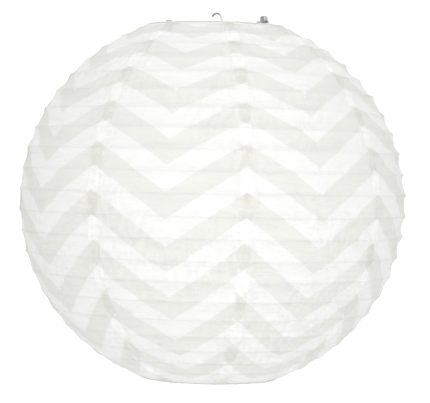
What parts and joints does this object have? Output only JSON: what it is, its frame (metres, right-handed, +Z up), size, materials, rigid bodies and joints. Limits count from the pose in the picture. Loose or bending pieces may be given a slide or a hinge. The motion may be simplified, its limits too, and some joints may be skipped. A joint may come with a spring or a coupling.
{
  "type": "accordion paper lantern",
  "caption": "Round collapsible paper lantern of printed gores on wire hoops, with a wire spreader and a hanging hook.",
  "frame": {"origin": "the point under the hook's crown that the lantern hangs from, on the lantern's own axis", "axes": "+Z up along the lantern's axis, which is its shortest extent; -Y is the side seen from the front, where the crossbar's right end (+X) comes forward"},
  "size_m": [0.356, 0.356, 0.3371],
  "materials": {
    "printed_paper": "thin crinkled rice paper, white with a pale grey zigzag print",
    "rib_wire": "thin drawn steel wire",
    "ring_wire": "drawn steel wire",
    "spreader_wire": "galvanised spring wire, dulled"
  },
  "bodies": {
    "hanger": {"hanger_hook": "spreader_wire"},
    "spreader": {"spreader_crossbar": "spreader_wire", "top_ring": "ring_wire", "top_hem": "printed_paper", "gore_1": "printed_paper", "gore_2": "printed_paper", "gore_3": "printed_paper", "gore_4": "printed_paper", "gore_5": "printed_paper", "gore_6": "printed_paper", "gore_7": "printed_paper", "gore_8": "printed_paper"},
    "leg_right": {"spreader_leg_right": "spreader_wire"},
    "leg_left": {"spreader_leg_left": "spreader_wire"},
    "bottom": {"bottom_ring": "ring_wire", "bottom_hem": "printed_paper"},
    "rib_01": {"rib_hoop_01": "rib_wire"},
    "rib_02": {"rib_hoop_02": "rib_wire"},
    "rib_03": {"rib_hoop_03": "rib_wire"},
    "rib_04": {"rib_hoop_04": "rib_wire"},
    "rib_05": {"rib_hoop_05": "rib_wire"},
    "rib_06": {"rib_hoop_06": "rib_wire"},
    "rib_07": {"rib_hoop_07": "rib_wire"},
    "rib_08": {"rib_hoop_08": "rib_wire"},
    "rib_09": {"rib_hoop_09": "rib_wire"},
    "rib_10": {"rib_hoop_10": "rib_wire"},
    "rib_11": {"rib_hoop_11": "rib_wire"},
    "rib_12": {"rib_hoop_12": "rib_wire"},
    "rib_13": {"rib_hoop_13": "rib_wire"},
    "rib_14": {"rib_hoop_14": "rib_wire"},
    "rib_15": {"rib_hoop_15": "rib_wire"},
    "rib_16": {"rib_hoop_16": "rib_wire"},
    "rib_17": {"rib_hoop_17": "rib_wire"},
    "rib_18": {"rib_hoop_18": "rib_wire"},
    "rib_19": {"rib_hoop_19": "rib_wire"},
    "rib_20": {"rib_hoop_20": "rib_wire"},
    "rib_21": {"rib_hoop_21": "rib_wire"},
    "rib_22": {"rib_hoop_22": "rib_wire"}
  },
  "joints": [
    {"name": "hook_swing", "type": "hinge", "parent": "hanger", "child": "spreader", "pos_m": [0.00661, -0.00587, -0.01415], "axis": [0.7478, -0.6639, 0], "range_deg": [-90, 90]},
    {"name": "collapse", "type": "slide", "parent": "spreader", "child": "bottom", "axis": [0, 0, 1], "range_m": [0, 0.29654], "deforming": ["gore_1", "gore_2", "gore_3", "gore_4", "gore_5", "gore_6", "gore_7", "gore_8"]},
    {"name": "leg_squeeze_right", "type": "hinge", "parent": "spreader", "child": "leg_right", "pos_m": [0.042, -0.0405, -0.0064], "axis": [0.6639, 0.7478, 0], "range_deg": [0, 9], "stiffness_Nm_per_rad": 1.2},
    {"name": "leg_squeeze_left", "type": "hinge", "parent": "spreader", "child": "leg_left", "pos_m": [-0.04519, 0.03691, -0.0064], "axis": [-0.6639, -0.7478, 0], "range_deg": [0, 9], "stiffness_Nm_per_rad": 1.2},
    {"name": "rib_slide_01", "type": "slide", "parent": "spreader", "child": "rib_01", "axis": [0, 0, 1], "range_m": [0, 0.00322]},
    {"name": "rib_slide_02", "type": "slide", "parent": "spreader", "child": "rib_02", "axis": [0, 0, 1], "range_m": [0, 0.01103]},
    {"name": "rib_slide_03", "type": "slide", "parent": "spreader", "child": "rib_03", "axis": [0, 0, 1], "range_m": [0, 0.02054]},
    {"name": "rib_slide_04", "type": "slide", "parent": "spreader", "child": "rib_04", "axis": [0, 0, 1], "range_m": [0, 0.03163]},
    {"name": "rib_slide_05", "type": "slide", "parent": "spreader", "child": "rib_05", "axis": [0, 0, 1], "range_m": [0, 0.04416]},
    {"name": "rib_slide_06", "type": "slide", "parent": "spreader", "child": "rib_06", "axis": [0, 0, 1], "range_m": [0, 0.05797]},
    {"name": "rib_slide_07", "type": "slide", "parent": "spreader", "child": "rib_07", "axis": [0, 0, 1], "range_m": [0, 0.07291]},
    {"name": "rib_slide_08", "type": "slide", "parent": "spreader", "child": "rib_08", "axis": [0, 0, 1], "range_m": [0, 0.08878]},
    {"name": "rib_slide_09", "type": "slide", "parent": "spreader", "child": "rib_09", "axis": [0, 0, 1], "range_m": [0, 0.10538]},
    {"name": "rib_slide_10", "type": "slide", "parent": "spreader", "child": "rib_10", "axis": [0, 0, 1], "range_m": [0, 0.12252]},
    {"name": "rib_slide_11", "type": "slide", "parent": "spreader", "child": "rib_11", "axis": [0, 0, 1], "range_m": [0, 0.13998]},
    {"name": "rib_slide_12", "type": "slide", "parent": "spreader", "child": "rib_12", "axis": [0, 0, 1], "range_m": [0, 0.15756]},
    {"name": "rib_slide_13", "type": "slide", "parent": "spreader", "child": "rib_13", "axis": [0, 0, 1], "range_m": [0, 0.17502]},
    {"name": "rib_slide_14", "type": "slide", "parent": "spreader", "child": "rib_14", "axis": [0, 0, 1], "range_m": [0, 0.19216]},
    {"name": "rib_slide_15", "type": "slide", "parent": "spreader", "child": "rib_15", "axis": [0, 0, 1], "range_m": [0, 0.20877]},
    {"name": "rib_slide_16", "type": "slide", "parent": "spreader", "child": "rib_16", "axis": [0, 0, 1], "range_m": [0, 0.22463]},
    {"name": "rib_slide_17", "type": "slide", "parent": "spreader", "child": "rib_17", "axis": [0, 0, 1], "range_m": [0, 0.23957]},
    {"name": "rib_slide_18", "type": "slide", "parent": "spreader", "child": "rib_18", "axis": [0, 0, 1], "range_m": [0, 0.25338]},
    {"name": "rib_slide_19", "type": "slide", "parent": "spreader", "child": "rib_19", "axis": [0, 0, 1], "range_m": [0, 0.26591]},
    {"name": "rib_slide_20", "type": "slide", "parent": "spreader", "child": "rib_20", "axis": [0, 0, 1], "range_m": [0, 0.277]},
    {"name": "rib_slide_21", "type": "slide", "parent": "spreader", "child": "rib_21", "axis": [0, 0, 1], "range_m": [0, 0.28651]},
    {"name": "rib_slide_22", "type": "slide", "parent": "spreader", "child": "rib_22", "axis": [0, 0, 1], "range_m": [0, 0.29432]}
  ],
  "couplings": [
    {"joint": "rib_slide_01", "follows": "collapse", "ratio": 0.009176},
    {"joint": "rib_slide_02", "follows": "collapse", "ratio": 0.035523},
    {"joint": "rib_slide_03", "follows": "collapse", "ratio": 0.067587},
    {"joint": "rib_slide_04", "follows": "collapse", "ratio": 0.10497},
    {"joint": "rib_slide_05", "follows": "collapse", "ratio": 0.14722},
    {"joint": "rib_slide_06", "follows": "collapse", "ratio": 0.19381},
    {"joint": "rib_slide_07", "follows": "collapse", "ratio": 0.24417},
    {"joint": "rib_slide_08", "follows": "collapse", "ratio": 0.29768},
    {"joint": "rib_slide_09", "follows": "collapse", "ratio": 0.35368},
    {"joint": "rib_slide_10", "follows": "collapse", "ratio": 0.41148},
    {"joint": "rib_slide_11", "follows": "collapse", "ratio": 0.47037},
    {"joint": "rib_slide_12", "follows": "collapse", "ratio": 0.52963},
    {"joint": "rib_slide_13", "follows": "collapse", "ratio": 0.58852},
    {"joint": "rib_slide_14", "follows": "collapse", "ratio": 0.64632},
    {"joint": "rib_slide_15", "follows": "collapse", "ratio": 0.70232},
    {"joint": "rib_slide_16", "follows": "collapse", "ratio": 0.75583},
    {"joint": "rib_slide_17", "follows": "collapse", "ratio": 0.80619},
    {"joint": "rib_slide_18", "follows": "collapse", "ratio": 0.85278},
    {"joint": "rib_slide_19", "follows": "collapse", "ratio": 0.89503},
    {"joint": "rib_slide_20", "follows": "collapse", "ratio": 0.93241},
    {"joint": "rib_slide_21", "follows": "collapse", "ratio": 0.96448},
    {"joint": "rib_slide_22", "follows": "collapse", "ratio": 0.99082}
  ]
}
